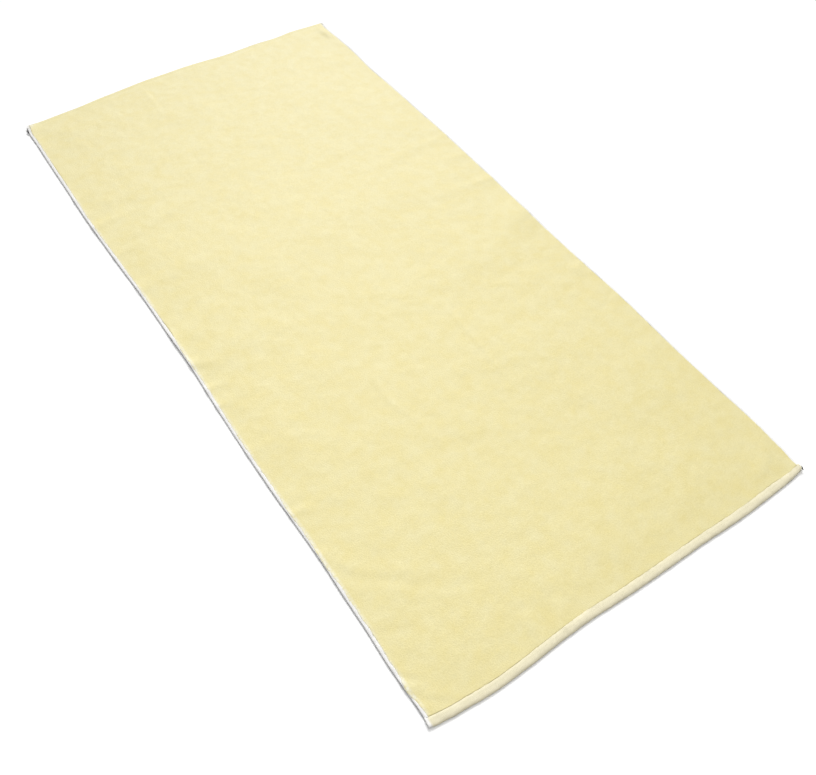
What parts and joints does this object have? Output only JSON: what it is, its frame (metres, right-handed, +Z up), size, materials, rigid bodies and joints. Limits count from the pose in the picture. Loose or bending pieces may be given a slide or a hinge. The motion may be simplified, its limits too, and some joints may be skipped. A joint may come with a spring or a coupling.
{
  "type": "beach towel",
  "caption": "Flat rectangular terry beach towel with a sheared pale-yellow face, white looped back, flat-woven long edges and stitched, double-turned end hems, the near one bare and the far one under the pile.",
  "frame": {"origin": "on the surface the towel lies on, under the middle of the towel", "axes": "+X across the width, +Y along the length away from the near hem, +Z up out of the yellow face"},
  "size_m": [0.74, 1.524, 0.0043],
  "materials": {
    "face_velour": "matte sheared cotton pile, pale yellow",
    "ground_weave": "matte plain-woven cotton, off-white",
    "back_loops": "matte looped cotton pile, white",
    "selvedge_weave": "matte flat-woven cotton, white",
    "hem_cloth": "matte flat-woven ribbed cotton, pale cream yellow",
    "sewing_thread": "twisted polyester thread, low sheen, beige yellow"
  },
  "bodies": {
    "root": {"face_pile": "face_velour", "ground_cloth": "ground_weave", "back_pile": "back_loops", "left_selvedge": "selvedge_weave", "right_selvedge": "selvedge_weave", "near_hem": "hem_cloth", "near_hem_needle_thread": "sewing_thread", "near_hem_bobbin_thread": "sewing_thread", "far_hem": "hem_cloth", "far_hem_needle_thread": "sewing_thread", "far_hem_bobbin_thread": "sewing_thread"}
  },
  "joints": []
}
